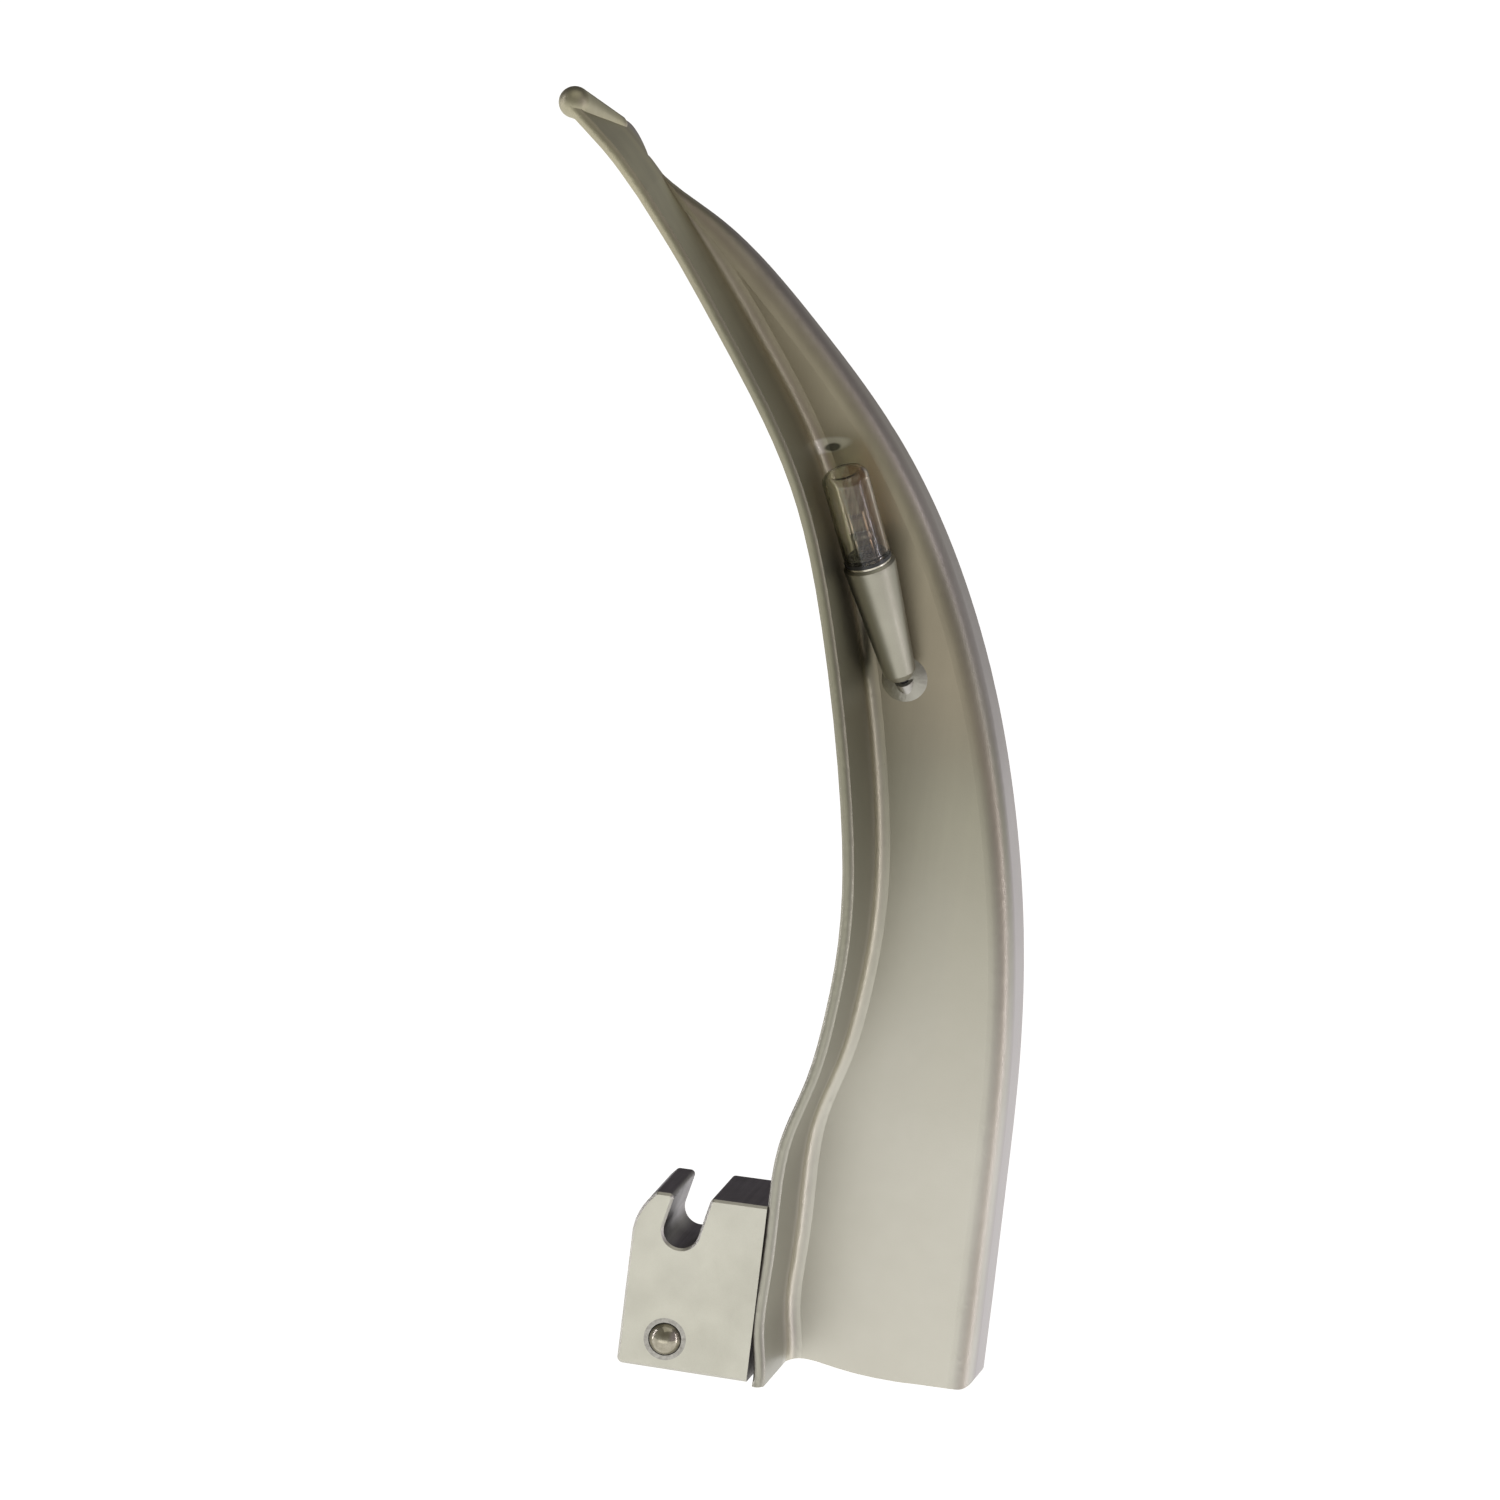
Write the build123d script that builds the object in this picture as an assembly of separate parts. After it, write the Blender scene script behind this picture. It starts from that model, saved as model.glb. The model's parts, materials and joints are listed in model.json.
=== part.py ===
from build123d import *
import math
import os

# Curved hook-on laryngoscope blade: a Z-section blade with a beaded tip, a hook block
# with two sprung detent balls, the lamp's contact and wire in their conduit, and a
# screw-in lamp in a tapered holder.
# Frame: the hinge pin's axis in the hook slot is Y, Z points along the straight base of
# the blade towards its tip, and the handle comes from -X. Millimetres.

os.makedirs("parts", exist_ok=True)

# ---- blade body ----
SHEET = 1.2  # wall of spatula, web and flange
BLOCK_WIDTH = 12.7  # hook block along the pin
NEAR = -BLOCK_WIDTH / 2  # free edge of the spatula, flush with the block's side
WEB = NEAR + 14.0  # web's near face
FAR = WEB + SHEET  # web's far face
HEEL = -14.3  # flat bottom of the block
FLANGE_REACH = 8.0  # web's near face to the flange's free edge
FLANGE_REACH_TIP = 1.5
REACH_FADE = 0.35  # fraction of the blade's length where the flange starts to narrow
WEB_SHIFT = 5.65  # how far the web moves towards the near side by its end
SHIFT_FADE = 0.5  # fraction of the length where that starts
SPATULA_FILLET = 1.3  # spatula to web, inside the bend
FLANGE_FILLET = 1.2  # web to flange, inside the bend
BEND_SHARE = 0.92  # largest share of the section's rise taken up by the bends
BEND_LEAST = 0.5  # bends shrink to this scale before the web starts to lean
EDGE_ROUND = 0.35  # depth of the rounding of the spatula's free edge
STATIONS = 20
SPATULA_X = 8.4  # outer face of the spatula at its straight base
SPATULA_CURVE = [(SPATULA_X, 7.0), (10.15, 15.2), (11.8, 24.4), (12.2, 33.0), (10.66, 46.0)]
SPATULA_CURVE += [(7.05, 61.9), (1.5, 77.55), (-4.93, 87.8), (-11.5, 96.85), (-16.85, 103.5)]
SPATULA_END = (-0.68, 0.733)
FLANGE_CURVE = [(29.0, 8.0), (28.4, 24.2), (25.1, 44.3), (18.65, 64.1), (9.96, 79.8), (0.45, 91.0)]
FLANGE_CURVE += [(-8.65, 99.5), (-13.15, 102.5), (-16.0, 104.4)]
FLANGE_END = (-0.80, 0.60)
HEEL_CURVE = [(9.0, -14.7), (11.0, -14.3), (15.5, -14.7), (22.0, -15.1), (27.6, -15.0)]
HEEL_CORNER = 1.4  # radius of the flange's corner at the heel
HEEL_SPARE = 2.0  # how far the section runs on below the block before the heel is cut
CLEAR = 20.0  # cutters reach this far past the part

# ---- tongue and beaded tip beyond the web ----
TONGUE_CURVE = [(-16.85, 103.5), (-20.45, 107.3), (-25.05, 111.2)]
TIP_DIRECTION = Vector(-0.74, 0, 0.67).normalized()
TIP_NORMAL = Vector(0.67, 0, 0.74).normalized()
BEAD_RADIUS = 1.62
BEAD_RISE = 0.85  # bead's centre above the spatula's outer face
BEAD_FAR = (4.55, 2.8, 0.95)  # bead's far end: behind the tip, along Y, radius
TIP_OUTLINE = [(-4.2, 3.4), (-5.6, 4.95), (-8.9, 2.6), (-11.6, 3.2)]  # far edge of the tongue
TONGUE_WIDTH = 6.5  # widest Y before the outline is cut
TONGUE_STATIONS = 6

# ---- hook block ----
BLOCK_LEFT = -4.9
BLOCK_TOP = 3.8
PRONG_TOP = (-2.87, 3.6)
PRONG_BACK = (-4.2, 1.85)  # on the curved back of the prong
PRONG_BASE = -0.5
SLOT_RADIUS = 1.8
SLOT_LEAN = 12.5  # degrees from +Z towards +X
MOUTH_ROUND = 0.45
HEEL_ROUND = 0.6
BLOCK_CHAMFER = 0.25

# ---- detents ----
DETENT_X = -0.3
DETENT_Z = -11.2
BALL_RADIUS = 1.75
BALL_SHOWING = 1.1
BALL_GAP = 0.05
SLEEVE_RADIUS = 2.15
SLEEVE_LENGTH = 5.0
SLEEVE_FLOOR = 0.4
SPRING_WIRE = 0.17  # radius of the wire
SPRING_RADIUS = 1.2  # coil's centreline
SPRING_TURNS = 3.0

# ---- lamp contact in the block ----
CONTACT_Z = -5.4
STUD_RADIUS = 0.9
STUD_HEAD = (1.3, 0.7)  # radius, thickness
STUD_SHOWING = 0.5
STUD_END = 1.4
BUSH_RADIUS = 2.1
BUSH_LENGTH = 4.6

# ---- lamp and holder, along the lamp's axis from the holder's open end ----
MOUTH = Vector(9.43, 2.15, 68.72)
LAMP_AXIS = Vector(-0.316, -0.270, 0.909).normalized()
HOLDER_LENGTH = 13.1
HOLDER_RADIUS = 2.65
HOLDER_FOOT_RADIUS = 1.65
HOLDER_RIM = 0.25
THREAD_RADIUS = 1.9
THREAD_GAP = 0.05
THREAD_LENGTH = 4.6
THREAD_LEAD = 0.2  # bevel at the thread's end
BORE_DEPTH = 7.6
SEAT_GAP = 0.02  # lamp's shoulder to the holder's rim
SHOULDER = (2.35, 0.25)  # ferrule's shoulder: radius, thickness
CEMENT = (2.43, 0.65)  # black ring: radius, top
SHANK_WALL = 0.4
GLASS_RADIUS = 2.4
GLASS_TOP = 10.2
GLASS_WALL = 0.35
STEM_END = -3.0
TIP_RADIUS = 0.7
TIP_END = -5.5
WIRE_JOINT = -8.2  # wire's end on the holder's contact
LEAD_RADIUS = 0.13
LEAD_SPREAD = 0.75
LEAD_TOP = 5.6
BEAD_SIZE = (0.45, 2.1)  # radius, length
BEAD_HEIGHT = 3.0
FILAMENT_RADIUS = 0.2
FILAMENT_WIRE = 0.05
FILAMENT_TURNS = 7
BRAZE_CENTRE = Vector(13.6, WEB + 3.9, 56.5)
BRAZE_RADIUS = 4.75
BRAZE_SINK = 0.2

# ---- wire and conduit ----
CORE_RADIUS = 0.22
WIRE_RADIUS = 0.5
CONDUIT_RADIUS = 1.0
CONDUIT_BORE = 0.6
CHANNEL_X = 4.4  # cross channel in the block
CONDUIT_START = 4.8
CONDUIT_STOP = 0.62  # its end, as a fraction of the run from the web's back to the holder
CONDUIT_Y = FAR + CONDUIT_RADIUS + 0.02
FOOT = MOUTH - LAMP_AXIS * HOLDER_LENGTH
WIRE_TURN = FOOT + LAMP_AXIS * 1.6
WIRE_END = MOUTH + LAMP_AXIS * WIRE_JOINT
BACK_ROUTE = [
    (CHANNEL_X, CONDUIT_Y, CONTACT_Z), (12.4, CONDUIT_Y, 0.6), (14.2, CONDUIT_Y, 14.0),
    (16.0, CONDUIT_Y, 26.0), (16.3, CONDUIT_Y, 39.5), (14.6, CONDUIT_Y, 53.4),
]
BACK_RADII = [3.0, 8.0, 40.0, 40.0, 40.0, 3.5]
SPOTS = [(13.6, 9.0), (16.15, 32.0), (15.4, 46.5)]  # brazed joints of the conduit, X and Z
SPOT_RADIUS = 2.1
SPOT_DEPTH = 0.9  # sphere's centre inside the web's far face


def upright(points):
    return [Vector(x, 0, z) for x, z in points]


def cylinder_between(start, end, radius):
    along = end - start
    return extrude(Plane(origin=start, z_dir=along) * Circle(radius), along.length)


# ---------------------------------------------------------------- blade body
def blade_section(spatula_point, flange_point, web, reach):
    """Z-shaped sheet section between matching points of the two outer lines."""
    across = flange_point - spatula_point
    height = across.length
    rise = height - SHEET
    half = SHEET / 2
    scale = (BEND_SHARE * rise - SHEET) / (SPATULA_FILLET + FLANGE_FILLET)
    scale = min(1.0, max(BEND_LEAST, scale))
    r1 = SPATULA_FILLET * scale + half
    r2 = FLANGE_FILLET * scale + half
    cosine = max(0.0, 1 - BEND_SHARE * rise / (r1 + r2))
    turn = math.acos(cosine)
    straight = (rise - (r1 + r2) * (1 - cosine)) / math.sin(turn)
    run = (r1 + r2) * math.sin(turn) + straight * cosine
    y1 = web + half - run * r1 / (r1 + r2)
    y2 = y1 + run
    edge = max(web + reach - half, y2 + 0.2)

    def low(radius, angle):
        return (half + r1 - radius * math.cos(angle), y1 + radius * math.sin(angle))

    def high(radius, angle):
        return (height - half - r2 + radius * math.cos(angle), y2 - radius * math.sin(angle))

    def bend(corner, radius, start, end):
        middle = (start + end) / 2
        return ThreePointArc(corner(radius, start), corner(radius, middle), corner(radius, end))

    far = NEAR + EDGE_ROUND
    outline = [
        Line((0, far), low(r1 + half, 0)),
        bend(low, r1 + half, 0, turn),
        Line(low(r1 + half, turn), high(r2 - half, turn)),
        bend(high, r2 - half, turn, 0),
        Line(high(r2 - half, 0), (height - SHEET, edge)),
        ThreePointArc((height - SHEET, edge), (height - half, edge + half), (height, edge)),
        Line((height, edge), high(r2 + half, 0)),
        bend(high, r2 + half, 0, turn),
        Line(high(r2 + half, turn), low(r1 - half, turn)),
        bend(low, r1 - half, turn, 0),
        Line(low(r1 - half, 0), (SHEET, far)),
        ThreePointArc((SHEET, far), (half, NEAR), (0, far)),
    ]
    z_dir = across.cross(Vector(0, 1, 0))
    plane = Plane(origin=spatula_point, x_dir=across.normalized(), z_dir=z_dir)
    return plane * make_face(Wire(outline))


def outer_line(points, end):
    curve = Spline(*upright(points), tangents=[Vector(0, 0, 1), Vector(end[0], 0, end[1])])
    base = Line((points[0][0], 0, HEEL - HEEL_SPARE), (points[0][0], 0, points[0][1]))
    return Wire([base, curve])


def make_web():
    """Spatula, web and flange from the heel to the end of the web."""
    spatula_line = outer_line(SPATULA_CURVE, SPATULA_END)
    flange_line = outer_line(FLANGE_CURVE, FLANGE_END)
    sections = []
    for i in range(STATIONS):
        u = i / (STATIONS - 1)
        narrow = max(0.0, (u - REACH_FADE) / (1 - REACH_FADE)) ** 1.5
        nearer = max(0.0, (u - SHIFT_FADE) / (1 - SHIFT_FADE)) ** 1.5
        reach = FLANGE_REACH + (FLANGE_REACH_TIP - FLANGE_REACH) * narrow
        web = WEB - WEB_SHIFT * nearer
        sections.append(blade_section(spatula_line @ u, flange_line @ u, web, reach))
    return loft(sections) - make_heel_cut()


def make_heel_cut():
    """Everything below the heel's shallow curve and outside its corner."""
    x, z = HEEL_CURVE[-1]
    edge = FLANGE_CURVE[0][0]
    right = edge + CLEAR
    below = z - CLEAR
    outline = Polyline(
        (x, z), (right, z), (right, below), (0, below), (0, HEEL_CURVE[0][1]), HEEL_CURVE[0]
    )
    outline += Spline(*HEEL_CURVE, tangents=[(1, 0), (1, 0)])
    cutter = extrude(Plane.XZ * make_face(outline), CLEAR, both=True)
    start = edge - HEEL_CORNER
    top = z + HEEL_CORNER
    bevel = HEEL_CORNER * (1 - math.sqrt(0.5))
    wedge = Polyline((start, z), (right, z), (right, top), (edge, top))
    wedge += ThreePointArc((edge, top), (edge - bevel, z + bevel), (start, z))
    return cutter + extrude(Plane.XZ * make_face(wedge), CLEAR, both=True)


def make_tongue():
    """Flat end of the spatula, cut to its outline."""
    start = Vector(SPATULA_END[0], 0, SPATULA_END[1])
    curve = Spline(*upright(TONGUE_CURVE), tangents=[start, TIP_DIRECTION])
    half = SHEET / 2
    far = NEAR + EDGE_ROUND
    sections = []
    for i in range(TONGUE_STATIONS):
        u = i / (TONGUE_STATIONS - 1)
        point = curve @ u
        normal = (curve % u).cross(Vector(0, -1, 0))
        if i == 0:
            normal = upright(FLANGE_CURVE[-1:])[0] - upright(SPATULA_CURVE[-1:])[0]
        along = normal.cross(Vector(0, 1, 0))
        outline = [
            Line((0, far), (0, TONGUE_WIDTH)),
            Line((0, TONGUE_WIDTH), (SHEET, TONGUE_WIDTH)),
            Line((SHEET, TONGUE_WIDTH), (SHEET, far)),
            ThreePointArc((SHEET, far), (half, NEAR), (0, far)),
        ]
        sections.append(Plane(origin=point, x_dir=normal, z_dir=along) * make_face(Wire(outline)))
    band = loft(sections)
    tip = Plane(origin=curve @ 1, x_dir=TIP_DIRECTION, z_dir=TIP_DIRECTION.cross(Vector(0, 1, 0)))
    near = NEAR + BEAD_RADIUS
    first = TIP_OUTLINE[0]
    last = TIP_OUTLINE[-1]
    back = last[0] - CLEAR
    cut = Polyline((back, last[1]), (back, NEAR - 1), (0, NEAR - 1), (0, near), first)
    cut += Spline(*TIP_OUTLINE, tangents=[(first[0], first[1] - near), (-1, 0)])
    cut += Line(last, (back, last[1]))
    return band & extrude(tip * make_face(cut), CLEAR, both=True)


def rounded_pin(start, end, start_radius, end_radius):
    """Tapered pin with domed ends, on the line between two points."""
    along = end - start
    plane = Plane(origin=start, x_dir=along.cross(TIP_NORMAL).normalized(), z_dir=along)
    reach = along.length
    dome = math.sqrt(0.5)
    low = start_radius * dome
    high = end_radius * dome
    outline = Line((0, -start_radius), (0, reach + end_radius))
    outline += ThreePointArc((0, reach + end_radius), (high, reach + high), (end_radius, reach))
    outline += Line((end_radius, reach), (start_radius, 0))
    outline += ThreePointArc((start_radius, 0), (low, -low), (0, -start_radius))
    profile = Plane.XZ * make_face(outline)
    return plane * revolve(profile, Axis.Z)


def make_tip_roll():
    """Beaded edge along the slanted end of the tip."""
    foot = Vector(TONGUE_CURVE[-1][0], 0, TONGUE_CURVE[-1][1])
    centre = foot + TIP_NORMAL * BEAD_RISE
    near = centre + Vector(0, NEAR + BEAD_RADIUS, 0)
    behind, y, radius = BEAD_FAR
    far = centre - TIP_DIRECTION * behind + Vector(0, y, 0)
    return rounded_pin(near, far, BEAD_RADIUS, radius)


def make_blade_body():
    return make_web() + make_tongue() + make_tip_roll()


# ---------------------------------------------------------------- hook block
def detent_mouth(side):
    return Vector(DETENT_X, side * BLOCK_WIDTH / 2, DETENT_Z)


def make_hook_block():
    prong_base = (BLOCK_LEFT, PRONG_BASE)
    outline = Polyline(
        prong_base, (BLOCK_LEFT, HEEL), (SPATULA_X, HEEL), (SPATULA_X, BLOCK_TOP), PRONG_TOP
    )
    outline += ThreePointArc(PRONG_TOP, PRONG_BACK, prong_base)
    profile = Plane.XZ * make_face(outline)
    lean = Rot(0, SLOT_LEAN, 0)
    slot = Cylinder(SLOT_RADIUS, 2 * BLOCK_WIDTH, rotation=(90, 0, 0))
    slot += lean * Pos(0, 0, 5) * Box(2 * SLOT_RADIUS, 2 * BLOCK_WIDTH, 10)
    block = extrude(profile, BLOCK_WIDTH / 2, both=True) - slot
    mouth = block.edges().filter_by(Axis.Y).filter_by_position(Axis.Z, BLOCK_TOP - 0.4, BLOCK_TOP + 0.1)
    mouth = mouth.filter_by_position(Axis.X, -3.5, 3.5)
    block = fillet(mouth, MOUTH_ROUND)
    corner = block.edges().filter_by(Axis.Y).sort_by(Axis.Z)[:2].sort_by(Axis.X)[0]
    block = fillet(corner, HEEL_ROUND)
    sides = block.faces().filter_by(Axis.Y)
    rim = [edge for face in sides for edge in face.edges() if edge.center().X < SPATULA_X - 0.1]
    block = chamfer(rim, BLOCK_CHAMFER)
    for side in (-1, 1):
        mouth = detent_mouth(side)
        block -= cylinder_between(mouth, mouth - Vector(0, side * SLEEVE_LENGTH, 0), SLEEVE_RADIUS)
    face = Vector(BLOCK_LEFT, 0, CONTACT_Z)
    corner = Vector(CHANNEL_X, 0, CONTACT_Z)
    block -= cylinder_between(face, face + Vector(BUSH_LENGTH, 0, 0), BUSH_RADIUS)
    block -= cylinder_between(face, corner, STUD_RADIUS + 0.2)
    block -= Pos(corner) * Sphere(STUD_RADIUS + 0.2)
    block -= cylinder_between(corner, corner + Vector(0, BLOCK_WIDTH, 0), CONDUIT_RADIUS)
    return block


# ---------------------------------------------------------------- detents
def make_detent(side):
    """Closed sleeve, ball and spring of one ball catch."""
    mouth = detent_mouth(side)
    inward = Vector(0, -side, 0)
    bore = BALL_RADIUS + BALL_GAP
    centre = BALL_RADIUS - BALL_SHOWING
    floor = SLEEVE_LENGTH - SLEEVE_FLOOR
    sleeve = cylinder_between(mouth, mouth + inward * SLEEVE_LENGTH, SLEEVE_RADIUS)
    sleeve -= cylinder_between(mouth + inward * centre, mouth + inward * floor, bore)
    sleeve -= Pos(mouth + inward * centre) * Sphere(bore)
    ball = Pos(mouth + inward * centre) * Sphere(BALL_RADIUS)
    start = centre + math.sqrt((BALL_RADIUS + SPRING_WIRE) ** 2 - SPRING_RADIUS**2) + 0.01
    height = floor - SPRING_WIRE - start
    helix = Helix(height / SPRING_TURNS, height, SPRING_RADIUS)
    wire = sweep(Plane(origin=helix @ 0, z_dir=helix % 0) * Circle(SPRING_WIRE), path=helix)
    spring = Plane(origin=mouth + inward * start, z_dir=inward) * wire
    return sleeve, ball, spring


# ---------------------------------------------------------------- lamp contact
def make_contact():
    """Insulating bush and brass stud in the face that meets the handle."""
    face = Vector(BLOCK_LEFT, 0, CONTACT_Z)
    inward = Vector(1, 0, 0)
    head_radius, head = STUD_HEAD
    front = face - inward * STUD_SHOWING
    stud = cylinder_between(front, front + inward * head, head_radius)
    stud = chamfer(stud.edges().sort_by(Axis.X)[0], 0.2)
    stud += cylinder_between(front + inward * head, Vector(STUD_END, 0, CONTACT_Z), STUD_RADIUS)
    bush = cylinder_between(face, face + inward * BUSH_LENGTH, BUSH_RADIUS)
    return bush - stud, stud


# ---------------------------------------------------------------- wire and conduit
def tube_along(path, radius):
    return sweep(Plane(origin=path @ 0, z_dir=path % 0) * Circle(radius), path=path)


def make_wiring():
    """Insulated wire from the stud to the lamp's contact, and its conduit behind the web."""
    stud_end = (STUD_END, 0, CONTACT_Z)
    corner = (CHANNEL_X, 0, CONTACT_Z)
    route = [stud_end, corner, *BACK_ROUTE, WIRE_TURN, WIRE_END]
    path = FilletPolyline(*route, radius=[1.2, *BACK_RADII, 1.6])
    core = tube_along(path, CORE_RADIUS)
    wire = tube_along(path, WIRE_RADIUS)
    start = (CHANNEL_X, CONDUIT_START, CONTACT_Z)
    last = Vector(*BACK_ROUTE[-1])
    end = last + (WIRE_TURN - last) * CONDUIT_STOP
    outside = FilletPolyline(start, *BACK_ROUTE, end, radius=BACK_RADII)
    envelope = tube_along(outside, CONDUIT_RADIUS)
    conduit = envelope - tube_along(outside, CONDUIT_BORE)
    return core, wire, conduit, envelope


def make_conduit_braze(conduit):
    """Three short brazed joints between the conduit and the web's far face."""
    spots = Part()
    for x, z in SPOTS:
        cap = Pos(x, FAR - SPOT_DEPTH, z) * Sphere(SPOT_RADIUS)
        spots += cap & Pos(x, FAR + SPOT_RADIUS, z) * Box(*[2 * SPOT_RADIUS] * 3)
    return spots - conduit


# ---------------------------------------------------------------- lamp and holder
LAMP = Plane(origin=MOUTH, x_dir=LAMP_AXIS.cross(Vector(0, 1, 0)).normalized(), z_dir=LAMP_AXIS)


def on_lamp(*outline):
    """Solid of revolution about the lamp's axis from (radius, height) points."""
    profile = make_face(Polyline(*[(r, 0, h) for r, h in outline], close=True))
    return LAMP * revolve(profile, Axis.Z)


def make_holder(conduit, wire):
    """Tapered tube, closed at its foot, with the conduit let into its back."""
    bore = THREAD_RADIUS + THREAD_GAP
    end = -HOLDER_LENGTH
    shell = on_lamp(
        (0, end), (HOLDER_FOOT_RADIUS - 0.5, end), (HOLDER_FOOT_RADIUS, end + 0.7),
        (HOLDER_RADIUS, -0.6), (HOLDER_RADIUS, -HOLDER_RIM), (HOLDER_RADIUS - HOLDER_RIM, 0), (0, 0),
    )
    hollow = on_lamp(
        (0, 1), (bore, 1), (bore, -BORE_DEPTH), (WIRE_RADIUS, -BORE_DEPTH - 0.4),
        (WIRE_RADIUS, WIRE_JOINT - 1), (0, WIRE_JOINT - 1),
    )
    return shell - hollow - conduit - wire, shell


def make_holder_braze(neighbours):
    """Fillet of braze where the holder's foot meets the web."""
    mound = Pos(BRAZE_CENTRE) * Sphere(BRAZE_RADIUS)
    middle = Vector(BRAZE_CENTRE.X, WEB + BRAZE_SINK - BRAZE_RADIUS, BRAZE_CENTRE.Z)
    mound &= Pos(middle) * Box(*[2 * BRAZE_RADIUS] * 3)
    for part in neighbours:
        mound -= part
    return mound.solids().sort_by(SortBy.VOLUME)[-1]


def make_holder_contact():
    """Insulating bush at the bottom of the holder, and its brass contact."""
    bore = THREAD_RADIUS + THREAD_GAP
    top = TIP_END - SEAT_GAP
    contact = on_lamp(
        (0, WIRE_JOINT), (0.45, WIRE_JOINT), (0.45, top - 0.6), (1.1, top - 0.6), (1.1, top), (0, top)
    )
    bush = on_lamp(
        (0.45, -BORE_DEPTH), (bore, -BORE_DEPTH), (bore, top - 0.4), (1.1, top - 0.4),
        (1.1, top - 0.6), (0.45, top - 0.6),
    )
    return contact, bush


def make_lamp():
    """Screw-in lamp: ferrule, black cement ring, glass, end contact, leads and filament."""
    low = SEAT_GAP
    shoulder, shoulder_top = SHOULDER
    cement, cement_top = CEMENT
    inner = THREAD_RADIUS - SHANK_WALL
    ferrule = on_lamp(
        (inner, -THREAD_LENGTH), (THREAD_RADIUS - THREAD_LEAD, -THREAD_LENGTH),
        (THREAD_RADIUS, -THREAD_LENGTH + THREAD_LEAD), (THREAD_RADIUS, low), (shoulder, low),
        (shoulder, shoulder_top), (inner, shoulder_top),
    )
    ring = on_lamp(
        (inner, shoulder_top), (cement, shoulder_top), (cement, cement_top), (inner, cement_top)
    )
    base = on_lamp(
        (TIP_RADIUS, -THREAD_LENGTH), (THREAD_RADIUS - 0.25, -THREAD_LENGTH),
        (TIP_RADIUS + 0.2, TIP_END + 0.4), (TIP_RADIUS, TIP_END + 0.4),
    )
    tip = on_lamp(
        (0, -THREAD_LENGTH), (TIP_RADIUS, -THREAD_LENGTH), (TIP_RADIUS, TIP_END + 0.25),
        (TIP_RADIUS - 0.3, TIP_END), (0, TIP_END),
    )
    leads = Part()
    for side in (-1, 1):
        span = LEAD_TOP - STEM_END + 1
        leads += LAMP * Pos(side * LEAD_SPREAD, 0, LEAD_TOP - span / 2) * Cylinder(LEAD_RADIUS, span)
    outer = on_lamp(
        (0, STEM_END), (inner, STEM_END), (inner, cement_top), (GLASS_RADIUS, cement_top),
        (GLASS_RADIUS, GLASS_TOP), (0, GLASS_TOP),
    )
    top_edge = outer.edges().sort_by(Axis(MOUTH, LAMP_AXIS))[-1]
    outer = fillet(top_edge, 0.9)
    wall = GLASS_WALL
    hollow = on_lamp(
        (0, STEM_END + wall), (inner - wall, STEM_END + wall), (inner - wall, cement_top + wall),
        (GLASS_RADIUS - wall, cement_top + wall), (GLASS_RADIUS - wall, GLASS_TOP - wall),
        (0, GLASS_TOP - wall),
    )
    hollow = fillet(hollow.edges().sort_by(Axis(MOUTH, LAMP_AXIS))[-1], 0.6)
    glass = outer - hollow - leads
    bead = Cylinder(*BEAD_SIZE, rotation=(0, 90, 0))
    bead = LAMP * Pos(0, 0, BEAD_HEIGHT) * fillet(bead.edges().filter_by(GeomType.CIRCLE), 0.2) - leads
    pitch = 2 * (LEAD_SPREAD - LEAD_RADIUS) / FILAMENT_TURNS
    helix = Helix(pitch, pitch * FILAMENT_TURNS, FILAMENT_RADIUS)
    coil = sweep(Plane(origin=helix @ 0, z_dir=helix % 0) * Circle(FILAMENT_WIRE), path=helix)
    filament = LAMP * Pos(LEAD_RADIUS - LEAD_SPREAD, 0, LEAD_TOP - 0.5) * Rot(0, 90, 0) * coil
    return {
        "bulb_ferrule": ferrule, "bulb_cement": ring, "bulb_insulator": base,
        "bulb_end_contact": tip, "bulb_leads": leads, "bulb_glass": glass,
        "bulb_bead": bead, "bulb_filament": filament,
    }


def make_parts():
    core, wire, conduit, conduit_solid = make_wiring()
    holder, shell = make_holder(conduit_solid, wire)
    holder_contact, holder_bush = make_holder_contact()
    contact_bush, contact_stud = make_contact()
    blade = make_blade_body() - conduit_solid
    parts = {
        "blade_body": blade,
        "hook_block": make_hook_block() - blade,
        "contact_bush": contact_bush,
        "contact_stud": contact_stud,
        "wire_core": core,
        "wire_insulation": wire - core,
        "conduit": conduit,
        "conduit_braze": make_conduit_braze(conduit_solid),
        "bulb_holder": holder,
        "holder_braze": make_holder_braze([shell, conduit_solid, wire, blade]),
        "holder_contact": holder_contact,
        "holder_bush": holder_bush,
    }
    for side, name in ((-1, "front"), (1, "rear")):
        for label, part in zip(("sleeve", "ball", "spring"), make_detent(side)):
            parts[f"detent_{label}_{name}"] = part
    parts.update(make_lamp())
    return parts


if __name__ == "__main__":
    for node, part in make_parts().items():
        export_step(part, f"parts/{node}.step")
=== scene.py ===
import json
import math

import bmesh
import bpy
from mathutils import Matrix, Vector

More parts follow.
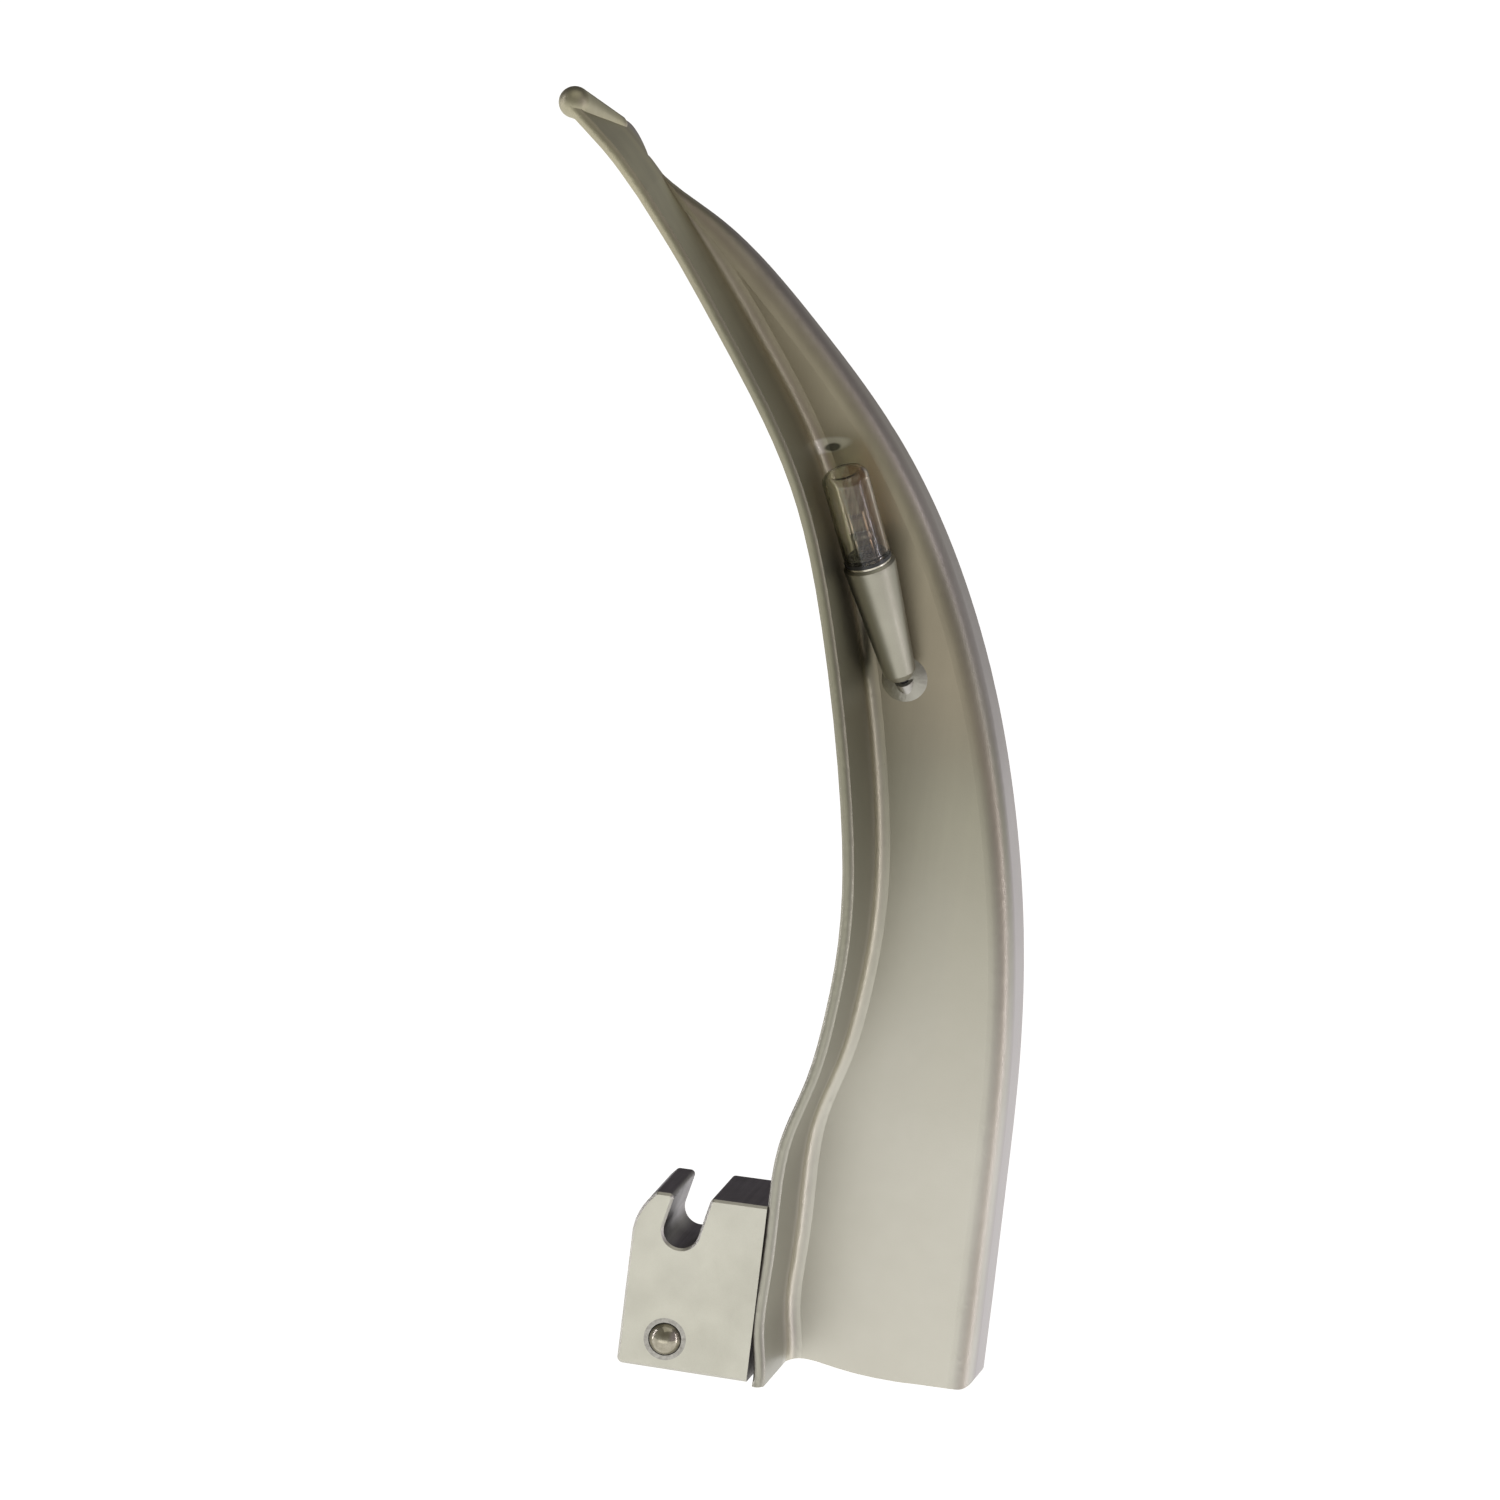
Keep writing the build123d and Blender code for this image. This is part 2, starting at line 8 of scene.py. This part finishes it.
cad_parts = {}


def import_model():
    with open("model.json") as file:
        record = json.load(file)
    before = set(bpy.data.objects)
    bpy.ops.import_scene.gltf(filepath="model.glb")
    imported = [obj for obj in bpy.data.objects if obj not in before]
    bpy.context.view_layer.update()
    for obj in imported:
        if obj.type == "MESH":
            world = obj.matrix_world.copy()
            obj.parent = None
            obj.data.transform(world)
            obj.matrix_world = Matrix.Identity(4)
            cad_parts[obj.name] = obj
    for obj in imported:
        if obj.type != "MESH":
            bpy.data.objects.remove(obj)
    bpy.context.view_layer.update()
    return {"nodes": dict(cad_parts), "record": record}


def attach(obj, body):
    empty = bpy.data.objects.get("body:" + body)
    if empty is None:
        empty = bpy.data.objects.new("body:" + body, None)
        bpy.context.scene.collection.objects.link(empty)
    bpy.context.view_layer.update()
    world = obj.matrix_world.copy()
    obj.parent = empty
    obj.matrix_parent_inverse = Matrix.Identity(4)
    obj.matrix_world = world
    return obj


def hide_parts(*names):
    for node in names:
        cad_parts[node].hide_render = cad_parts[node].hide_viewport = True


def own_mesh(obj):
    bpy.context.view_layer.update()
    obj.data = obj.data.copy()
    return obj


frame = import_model()
nodes = frame["nodes"]
MM = 0.001
WEB_FACE = 7.65 * MM  # Y of the web's near face at the base
WEB_SHIFT = 5.65 * MM  # and how much nearer it is at its end
WEB_LEANS_FROM, WEB_LEANS_TO = 0.042, 0.104  # Z where it starts and stops
WEB_LEAN_POWER = 1.5
LAMP_PLACE = Vector((9.43, 2.15, 68.72)) * MM  # open end of the holder
LAMP_AXIS = Vector((-0.316, -0.270, 0.909)).normalized()
LAMP_SIDE = LAMP_AXIS.cross(Vector((0.0, 1.0, 0.0))).normalized() * -1


# ------------------------------------------------------------------ material helpers
class Shader:
    """Node tree of one procedural material, with short calls for the nodes used here."""

    def __init__(self, name):
        self.material = bpy.data.materials.new(name)
        self.material.use_nodes = True
        self.tree = self.material.node_tree
        self.principled = self.tree.nodes["Principled BSDF"]
        self.place = self.tree.nodes.new("ShaderNodeTexCoord").outputs["Object"]

    def link(self, output, socket):
        self.tree.links.new(output, socket)

    def put(self, socket, value):
        """Links a node's output to the socket, or sets a plain value on it."""
        if isinstance(value, bpy.types.NodeSocket):
            self.link(value, socket)
        else:
            socket.default_value = value

    def set(self, **values):
        """Sets the shader's inputs by name, with _ for a space."""
        for name, value in values.items():
            self.put(self.principled.inputs[name.replace("_", " ")], value)

    def stretch(self, scale):
        node = self.tree.nodes.new("ShaderNodeMapping")
        node.inputs["Scale"].default_value = scale
        self.link(self.place, node.inputs["Vector"])
        return node.outputs["Vector"]

    def noise(self, scale, detail=2.0, rough=0.5, stretch=None):
        node = self.tree.nodes.new("ShaderNodeTexNoise")
        self.link(self.stretch(stretch) if stretch else self.place, node.inputs["Vector"])
        node.inputs["Scale"].default_value = scale
        node.inputs["Detail"].default_value = detail
        node.inputs["Roughness"].default_value = rough
        return node.outputs["Fac"]

    def axis(self, which):
        node = self.tree.nodes.new("ShaderNodeSeparateXYZ")
        self.link(self.place, node.inputs[0])
        return node.outputs[which]

    def normal(self, which):
        node = self.tree.nodes.new("ShaderNodeSeparateXYZ")
        self.link(self.tree.nodes.new("ShaderNodeTexCoord").outputs["Normal"], node.inputs[0])
        return node.outputs[which]

    def remap(self, value, low, high, to_low=0.0, to_high=1.0, smooth=False):
        node = self.tree.nodes.new("ShaderNodeMapRange")
        node.interpolation_type = "SMOOTHSTEP" if smooth else "LINEAR"
        self.link(value, node.inputs["Value"])
        for name, number in zip(("From Min", "From Max", "To Min", "To Max"), (low, high, to_low, to_high)):
            node.inputs[name].default_value = number
        return node.outputs["Result"]

    def math(self, operation, a, b=0.0):
        node = self.tree.nodes.new("ShaderNodeMath")
        node.operation = operation
        self.put(node.inputs[0], a)
        self.put(node.inputs[1], b)
        return node.outputs[0]

    def mix(self, factor, a, b):
        """Blends two colours, each an RGB tuple or another node's output."""
        node = self.tree.nodes.new("ShaderNodeMix")
        node.data_type = "RGBA"
        self.put(node.inputs["Factor"], factor)
        for socket, colour in ((6, a), (7, b)):  # the node's two colour inputs
            self.put(node.inputs[socket], (*colour, 1) if isinstance(colour, tuple) else colour)
        return node.outputs[2]

    def oval(self, place, half, lean):
        """1 on the edge of an oval in the X-Z plane and less inside it. Sizes are in mm."""
        node = self.tree.nodes.new("ShaderNodeMapping")
        node.vector_type = "TEXTURE"
        node.inputs["Location"].default_value = (place[0] * MM, 0.0, place[1] * MM)
        node.inputs["Rotation"].default_value = (0.0, lean, 0.0)
        node.inputs["Scale"].default_value = (half[0] * MM, ANY_DEPTH, half[1] * MM)
        self.link(self.place, node.inputs["Vector"])
        reach = self.tree.nodes.new("ShaderNodeVectorMath")
        reach.operation = "LENGTH"
        self.link(node.outputs["Vector"], reach.inputs[0])
        return reach.outputs["Value"]

    def bump(self, height, distance):
        node = self.tree.nodes.new("ShaderNodeBump")
        node.inputs["Strength"].default_value = 1.0
        node.inputs["Distance"].default_value = distance
        self.link(height, node.inputs["Height"])
        self.link(node.outputs["Normal"], self.principled.inputs["Normal"])


def blasted_steel(name, light, dark, rough=0.4, grain=0.12 * MM, depth=0.006 * MM):
    """Bead-blasted steel: fine even pits, cloudy colour and roughness."""
    s = Shader(name)
    cloud = s.noise(90, detail=4, rough=0.6)
    fine = s.noise(1 / grain, detail=2, rough=0.6)
    tone = s.math("ADD", s.remap(cloud, 0.3, 0.7, 0, 0.7), s.remap(fine, 0.2, 0.8, 0, 0.3))
    s.set(Base_Color=s.mix(tone, dark, light), Metallic=1.0)
    s.set(Roughness=s.remap(s.noise(260, detail=5), 0.3, 0.7, rough - 0.05, rough + 0.06))
    s.bump(fine, depth)
    return s


def block_steel():
    """Blasted side faces; the faces between them, those not facing along Y, are darker, with a milling
    grain: painted shade of the slot and the block's recesses.
    """
    s = Shader("block_steel")
    cloud = s.noise(90, detail=4, rough=0.6)
    fine = s.noise(8300, detail=2, rough=0.6)
    mill = s.noise(1.0, detail=3, rough=0.6, stretch=(2200, 60, 2200))
    tone = s.math("ADD", s.remap(cloud, 0.3, 0.7, 0, 0.7), s.remap(fine, 0.2, 0.8, 0, 0.3))
    side = s.mix(tone, (0.51, 0.50, 0.43), (0.60, 0.59, 0.52))
    # painted shade: faces that don't face along Y get a dark colour, over a milling grain
    milled_painted_shade = s.mix(s.remap(mill, 0.35, 0.65), (0.20, 0.185, 0.195), (0.27, 0.25, 0.26))
    facing = s.math("ABSOLUTE", s.normal("Y"))
    flat = s.remap(facing, 0.35, 0.85, smooth=True)
    s.set(Base_Color=s.mix(flat, milled_painted_shade, side), Metallic=1.0)
    s.set(Roughness=s.remap(s.noise(260, detail=5), 0.3, 0.7, 0.37, 0.48))
    s.bump(s.math("ADD", s.math("MULTIPLY", mill, 0.3), fine), 0.006 * MM)
    return s


# Each band along a bend is painted light: a pale highlight on the fillet, a brown shade line next to it,
# and a darker mauve reflection over the flange. Columns: where it starts, peaks and ends behind the web's
# near face in mm, tint, strength.
BLADE_PAINTED_BANDS = (
    (-2.2, -0.6, 0.4, (0.46, 0.42, 0.28), 0.5),
    (-0.1, 0.5, 1.4, (0.32, 0.27, 0.20), 0.6),
    (0.9, 2.4, 30.0, (0.37, 0.33, 0.355), 0.75),
)
# Each oval on the web above the lamp paints the dimple there: a pale painted highlight round it and its
# dark painted shade. Columns: X and Z of its centre in mm, half sizes in mm, tint, strength.
BLADE_PAINTED_OVALS = (
    ((3.2, 79.1), (3.0, 0.9), (0.66, 0.64, 0.54), 0.7),
    ((3.9, 79.0), (1.0, 0.5), (0.07, 0.068, 0.05), 0.9),
)
OVAL_LEAN = -0.3  # radians in the X-Z plane
ANY_DEPTH = 1e6  # scale that takes Y out of an oval's reach


def blade_steel():
    """Satin steel: pale at the heel and darker olive towards the tip, partly olive tarnish and partly
    painted light falling off from the heel; painted highlight, shade and reflection bands along both bends.
    """
    s = Shader("blade_steel")
    y, z = s.axis("Y"), s.axis("Z")
    middle = s.remap(z, 0.006, 0.066, smooth=True)
    top = s.remap(z, 0.060, 0.084, smooth=True)
    lean = s.math("POWER", s.remap(z, WEB_LEANS_FROM, WEB_LEANS_TO), WEB_LEAN_POWER)
    behind = s.math("ADD", s.math("SUBTRACT", y, WEB_FACE), s.math("MULTIPLY", lean, WEB_SHIFT))
    streak = s.noise(1.0, detail=4, rough=0.6, stretch=(260, 260, 26))
    cloud = s.noise(55, detail=4, rough=0.55)
    fine = s.noise(5200, detail=2, rough=0.6)

    # heel, middle and top: pale below and olive above, partly tarnish and partly painted light falling off
    # from the heel
    streaks = s.remap(streak, 0.38, 0.62)
    low = s.mix(s.remap(cloud, 0.35, 0.65), (0.52, 0.51, 0.465), (0.62, 0.61, 0.56))
    dark = s.mix(streaks, (0.215, 0.205, 0.150), (0.250, 0.240, 0.175))
    high = s.mix(streaks, (0.365, 0.340, 0.245), (0.410, 0.385, 0.275))
    colour = s.mix(top, s.mix(middle, low, dark), high)

    # painted highlight, shade and reflection bands along the bends
    ragged = s.remap(streak, 0.3, 0.7, 0.85, 1.0)
    for start, peak, end, tint, strength in BLADE_PAINTED_BANDS:
        rise = s.remap(behind, start * MM, peak * MM, 0, strength, smooth=True)
        fall = s.remap(behind, peak * MM, end * MM, 1, 0, smooth=True)
        colour = s.mix(s.math("MULTIPLY", s.math("MULTIPLY", rise, fall), ragged), colour, tint)

    # shade on the inside of the spatula, gone at the tip
    nearer = s.remap(behind, -1.4 * MM, -4.0 * MM, smooth=True)
    deep = s.math("MULTIPLY", nearer, s.remap(z, 0.0, 0.05, 0.6, 0.75))
    deep = s.math("MULTIPLY", deep, s.remap(z, 0.088, 0.102, 1.0, 0.0))
    colour = s.mix(deep, colour, (0.24, 0.23, 0.17))

    # the dimple above the lamp, drawn only as its painted shade and a pale painted highlight round it, on
    # the web's near face only
    facing = s.math("SUBTRACT", 0.0, s.normal("Y"))
    near_face = s.math("MULTIPLY", s.remap(facing, 0.2, 0.6), s.remap(behind, -1.6 * MM, -0.8 * MM))
    for place, half, tint, strength in BLADE_PAINTED_OVALS:
        inside = s.remap(s.oval(place, half, OVAL_LEAN), 0.6, 1.0, strength, 0.0, smooth=True)
        colour = s.mix(s.math("MULTIPLY", inside, near_face), colour, tint)

    s.set(Base_Color=colour, Metallic=1.0)
    clouded = s.remap(cloud, 0.3, 0.7, 0.36, 0.43)
    s.set(Roughness=s.math("ADD", clouded, s.remap(z, 0.055, 0.085, 0.0, 0.05)))
    s.bump(s.math("ADD", s.math("MULTIPLY", streak, 0.5), fine), 0.005 * MM)
    return s


def wire_like(name, light, dark, rough=0.3):
    """Drawn or turned metal with a fine even grain."""
    s = Shader(name)
    fine = s.noise(1.0, detail=3, rough=0.6, stretch=(2500, 2500, 2500))
    s.set(Base_Color=s.mix(s.remap(fine, 0.3, 0.7), dark, light), Metallic=1.0)
    s.set(Roughness=s.remap(s.noise(900, detail=4), 0.3, 0.7, rough - 0.06, rough + 0.06))
    s.bump(fine, 0.004 * MM)
    return s


def ball_steel():
    """Polished steel with a faint dull haze."""
    s = Shader("ball_steel")
    haze = s.noise(700, detail=5, rough=0.65)
    s.set(Base_Color=s.mix(s.remap(haze, 0.35, 0.7), (0.27, 0.25, 0.19), (0.46, 0.43, 0.35)), Metallic=1.0)
    s.set(Roughness=s.remap(haze, 0.3, 0.7, 0.10, 0.20))
    s.bump(s.noise(2400, detail=3), 0.002 * MM)
    return s


def plastic(name, light, dark, rough=0.5):
    """Moulded or baked material with a fine matt grain."""
    s = Shader(name)
    fine = s.noise(2200, detail=4, rough=0.6)
    s.set(Base_Color=s.mix(s.remap(fine, 0.3, 0.7), dark, light), Metallic=0.0)
    s.set(Roughness=s.remap(s.noise(600, detail=4), 0.3, 0.7, rough - 0.08, rough + 0.08))
    s.bump(fine, 0.006 * MM)
    return s


def clear_glass(name, tint, rough):
    """Clear tinted glass with smears that dull it."""
    s = Shader(name)
    smear = s.noise(260, detail=5, rough=0.6)
    s.set(Base_Color=s.mix(s.remap(smear, 0.4, 0.7), tint, tuple(0.93 * v for v in tint)))
    s.set(Roughness=s.remap(smear, 0.45, 0.75, rough, rough + 0.06))
    s.principled.inputs["Transmission Weight"].default_value = 1.0
    s.principled.inputs["IOR"].default_value = 1.47
    return s


def bulb_glass():
    """Lamp glass with a painted view through it: olive on the spatula's side, where the web shows through,
    and brown and streaked along the lamp on the other, painted shade seen through the glass.
    """
    s = Shader("bulb_glass")
    offset = s.tree.nodes.new("ShaderNodeVectorMath")
    offset.operation = "DOT_PRODUCT"
    s.link(s.place, offset.inputs[0])
    offset.inputs[1].default_value = LAMP_SIDE
    across = s.math("SUBTRACT", offset.outputs["Value"], LAMP_PLACE.dot(LAMP_SIDE))
    streak = s.noise(1.0, detail=4, rough=0.7, stretch=(2600, 2600, 190))
    smear = s.noise(900, detail=5, rough=0.6)
    # painted view through the glass: brown streaks for the shade behind it, olive for the web behind it
    brown = s.mix(s.remap(streak, 0.35, 0.65), (0.55, 0.43, 0.35), (0.93, 0.86, 0.78))
    olive = s.mix(s.remap(smear, 0.35, 0.65), (0.88, 0.90, 0.78), (0.97, 0.98, 0.90))
    s.set(Base_Color=s.mix(s.remap(across, -0.1 * MM, 0.15 * MM, smooth=True), olive, brown))
    s.set(Roughness=s.remap(smear, 0.45, 0.75, 0.02, 0.10))
    s.principled.inputs["Transmission Weight"].default_value = 1.0
    s.principled.inputs["IOR"].default_value = 1.45
    return s


MATERIALS = {
    "blade_steel": blade_steel(),
    "block_steel": block_steel(),
    "conduit_steel": blasted_steel("conduit_steel", (0.62, 0.61, 0.58), (0.50, 0.49, 0.46), 0.36),
    "holder_steel": blasted_steel("holder_steel", (0.39, 0.375, 0.31), (0.31, 0.30, 0.245), 0.42),
    "sleeve_steel": wire_like("sleeve_steel", (0.42, 0.41, 0.38), (0.26, 0.25, 0.23), 0.35),
    "ball_steel": ball_steel(),
    "spring_steel": wire_like("spring_steel", (0.55, 0.55, 0.54), (0.42, 0.42, 0.41)),
    "braze": blasted_steel(
        "braze", (0.44, 0.43, 0.38), (0.26, 0.25, 0.21), 0.40, grain=0.5 * MM, depth=0.05 * MM
    ),
    "brass": wire_like("brass", (0.80, 0.62, 0.32), (0.66, 0.48, 0.22), 0.28),
    "copper": wire_like("copper", (0.85, 0.50, 0.33), (0.70, 0.38, 0.24), 0.30),
    "wire_sleeve": plastic("wire_sleeve", (0.05, 0.05, 0.055), (0.03, 0.03, 0.032), 0.45),
    "contact_plastic": plastic("contact_plastic", (0.72, 0.69, 0.60), (0.62, 0.59, 0.50), 0.5),
    "ferrule_nickel": wire_like("ferrule_nickel", (0.62, 0.59, 0.50), (0.50, 0.47, 0.38), 0.30),
    "black_cement": plastic("black_cement", (0.02, 0.02, 0.02), (0.008, 0.008, 0.008), 0.4),
    "solder": wire_like("solder", (0.64, 0.65, 0.67), (0.50, 0.51, 0.53), 0.35),
    "lead_wire": wire_like("lead_wire", (0.60, 0.52, 0.42), (0.46, 0.38, 0.30), 0.3),
    "bulb_glass": bulb_glass(),
    "bead_glass": clear_glass("bead_glass", (0.80, 0.84, 0.88), 0.15),
    "tungsten": wire_like("tungsten", (0.35, 0.34, 0.33), (0.22, 0.21, 0.20), 0.4),
}
SLOT_OF = {entry["node"]: entry["material_slot"] for entry in frame["record"]["subparts"]}
for node, obj in nodes.items():
    obj.data.materials.clear()
    obj.data.materials.append(MATERIALS[SLOT_OF[node]].material)


# ------------------------------------------------------------------ detent springs
DETENT_X, DETENT_Z = -0.3 * MM, -11.2 * MM  # the axis of both detents, along Y
SPRING_OUTER, SPRING_INNER = 4.19 * MM, 1.93 * MM  # distance from Y = 0 of the wire's two ends
COIL_RADIUS, WIRE_RADIUS = 1.2 * MM, 0.17 * MM
TURNS, CLOSED_TURNS = 4.5, 0.5  # in all, and flat at each end
STEPS, SIDES = 260, 10  # faces along and round the wire


def coil_mesh(side):
    """Swept wire of one spring, on the near side (-1) or the far side (1)."""
    mesh = bmesh.new()
    loops = []
    for i in range(STEPS + 1):
        share = i / STEPS
        angle = 2 * math.pi * TURNS * share
        eased = min(1.0, max(0.0, (share * TURNS - CLOSED_TURNS) / (TURNS - 2 * CLOSED_TURNS)))
        depth = side * (SPRING_OUTER - (SPRING_OUTER - SPRING_INNER) * eased)
        out = Vector((math.cos(angle), 0, math.sin(angle)))
        centre = Vector((DETENT_X, depth, DETENT_Z)) + COIL_RADIUS * out
        loop = []
        for k in range(SIDES):
            turn = 2 * math.pi * k / SIDES
            across = out * math.cos(turn) + Vector((0, 1, 0)) * math.sin(turn)
            loop.append(mesh.verts.new(centre + WIRE_RADIUS * across))
        loops.append(loop)
    for first, second in zip(loops, loops[1:]):
        for k in range(SIDES):
            after = (k + 1) % SIDES
            mesh.faces.new((first[k], first[after], second[after], second[k]))
    mesh.faces.new(loops[0])
    mesh.faces.new(loops[-1])
    bmesh.ops.recalc_face_normals(mesh, faces=mesh.faces[:])
    return mesh


def detent_spring(name, side):
    """Coil spring behind a detent ball, with closed ends."""
    mesh = coil_mesh(side)
    data = bpy.data.meshes.new(name)
    mesh.to_mesh(data)
    mesh.free()
    data.shade_smooth()
    data.materials.append(MATERIALS["spring_steel"].material)
    obj = bpy.data.objects.new(name, data)
    bpy.context.scene.collection.objects.link(obj)
    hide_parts(name.replace("coil_", "detent_spring_"))
    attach(obj, "blade")
    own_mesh(obj)


detent_spring("coil_front", -1)
detent_spring("coil_rear", 1)


# ------------------------------------------------------------------ studio
def area_light(name, place, target, size, power, colour):
    light = bpy.data.lights.new(name, "AREA")
    light.shape = "RECTANGLE"
    light.size, light.size_y = size
    light.energy = power
    light.color = colour
    obj = bpy.data.objects.new(name, light)
    obj.location = place
    obj.rotation_euler = (Vector(target) - Vector(place)).to_track_quat("-Z", "Y").to_euler()
    bpy.context.scene.collection.objects.link(obj)


def floor():
    """White table, lit evenly from within."""
    mesh = bpy.data.meshes.new("floor")
    half, front, level = 6.0, -1.2, -0.30  # metres; it ends short of the camera
    corners = [(-half, front, level), (half, front, level), (half, half, level), (-half, half, level)]
    mesh.from_pydata(corners, [], [(0, 1, 2, 3)])
    obj = bpy.data.objects.new("floor", mesh)
    s = Shader("floor_paint")
    tone = s.mix(s.noise(3.0, detail=3), (0.86, 0.86, 0.86), (0.90, 0.90, 0.90))
    s.set(Base_Color=tone, Roughness=0.9)
    s.set(Emission_Color=(1.0, 1.0, 1.0, 1), Emission_Strength=0.9)
    mesh.materials.append(s.material)
    bpy.context.scene.collection.objects.link(obj)


def world():
    """Studio walls: pale in front, olive above, mauve to the right, dim behind; white to the camera."""
    scene = bpy.context.scene
    scene.world = bpy.data.worlds.new("studio")
    scene.world.use_nodes = True
    tree = scene.world.node_tree

    def node(kind, **values):
        made = tree.nodes.new(kind)
        for name, value in values.items():
            made.inputs[name.replace("_", " ")].default_value = value
        return made

    direction = node("ShaderNodeSeparateXYZ")
    tree.links.new(tree.nodes.new("ShaderNodeTexCoord").outputs["Generated"], direction.inputs[0])

    def blend(axis, low, high, first, second):
        """Goes from first to second, each a colour or a blend, as the direction's axis goes low to high."""
        fade = node("ShaderNodeMapRange", From_Min=low, From_Max=high)
        fade.interpolation_type = "SMOOTHSTEP"
        tree.links.new(direction.outputs[axis], fade.inputs["Value"])
        mixed = tree.nodes.new("ShaderNodeMix")
        mixed.data_type = "RGBA"
        tree.links.new(fade.outputs["Result"], mixed.inputs["Factor"])
        for socket, value in ((6, first), (7, second)):
            if isinstance(value, tuple):
                mixed.inputs[socket].default_value = (*value, 1)
            else:
                tree.links.new(value, mixed.inputs[socket])
        return mixed.outputs[2]

    front = blend("Z", -0.35, 0.45, (0.62, 0.62, 0.59), (0.30, 0.29, 0.25))
    front = blend("X", 0.35, 0.9, front, (0.40, 0.36, 0.41))
    rear = blend("X", 0.0, 0.30, (0.15, 0.14, 0.15), (0.50, 0.50, 0.46))
    rear = blend("Z", 0.15, 0.7, rear, (0.09, 0.085, 0.09))
    back = node("ShaderNodeBackground", Strength=1.0)
    tree.links.new(blend("Y", -0.35, 0.35, front, rear), back.inputs["Color"])
    seen = node("ShaderNodeBackground", Color=(1, 1, 1, 1), Strength=1.0)
    pick = tree.nodes.new("ShaderNodeMixShader")
    ray = tree.nodes.new("ShaderNodeLightPath")
    tree.links.new(ray.outputs["Is Camera Ray"], pick.inputs["Fac"])
    tree.links.new(back.outputs[0], pick.inputs[1])
    tree.links.new(seen.outputs[0], pick.inputs[2])
    tree.links.new(pick.outputs[0], tree.nodes["World Output"].inputs["Surface"])


def camera():
    """Long lens from slightly right and above, rolled so that the blade leans to the right."""
    right = Vector((0.9776, 0.1747, 0.1175)).normalized()
    back = right.cross(Vector((-0.1497, 0.1842, 0.9715))).normalized()
    up = back.cross(right)
    field = 0.150  # width of the view at the object, in metres
    lens = bpy.data.cameras.new("camera")
    lens.lens = 900  # so long that the view is nearly parallel, as the photograph's is
    lens.sensor_width = 36
    distance = field * lens.lens / lens.sensor_width
    middle = Vector((-0.42, 3.65, 47.57)) * MM
    obj = bpy.data.objects.new("camera", lens)
    turn = Matrix((right, up, back)).transposed().to_4x4()
    obj.matrix_world = Matrix.Translation(middle + back * distance) @ turn
    lens.clip_end = 20
    bpy.context.scene.collection.objects.link(obj)
    bpy.context.scene.camera = obj


floor()
world()
camera()
# name, place, target, size and power in metres and watts, colour
for light in (
    ("front_low", (-0.06, -0.42, -0.13), (0.01, 0, 0.0), (0.5, 0.16), 0.16, (1.0, 0.99, 0.96)),
    ("overhead", (0.1, -0.2, 0.9), (0, 0, 0.04), (0.9, 0.7), 1.0, (1.0, 0.98, 0.92)),
    ("left", (-0.8, -0.05, 0.15), (0, 0, 0.06), (0.035, 0.7), 0.9, (0.90, 0.87, 1.0)),
    ("right", (0.8, -0.10, 0.1), (0, 0, 0.06), (0.035, 0.7), 0.7, (0.93, 0.88, 1.0)),
):
    area_light(*light)
bpy.context.scene.view_settings.view_transform = "Standard"
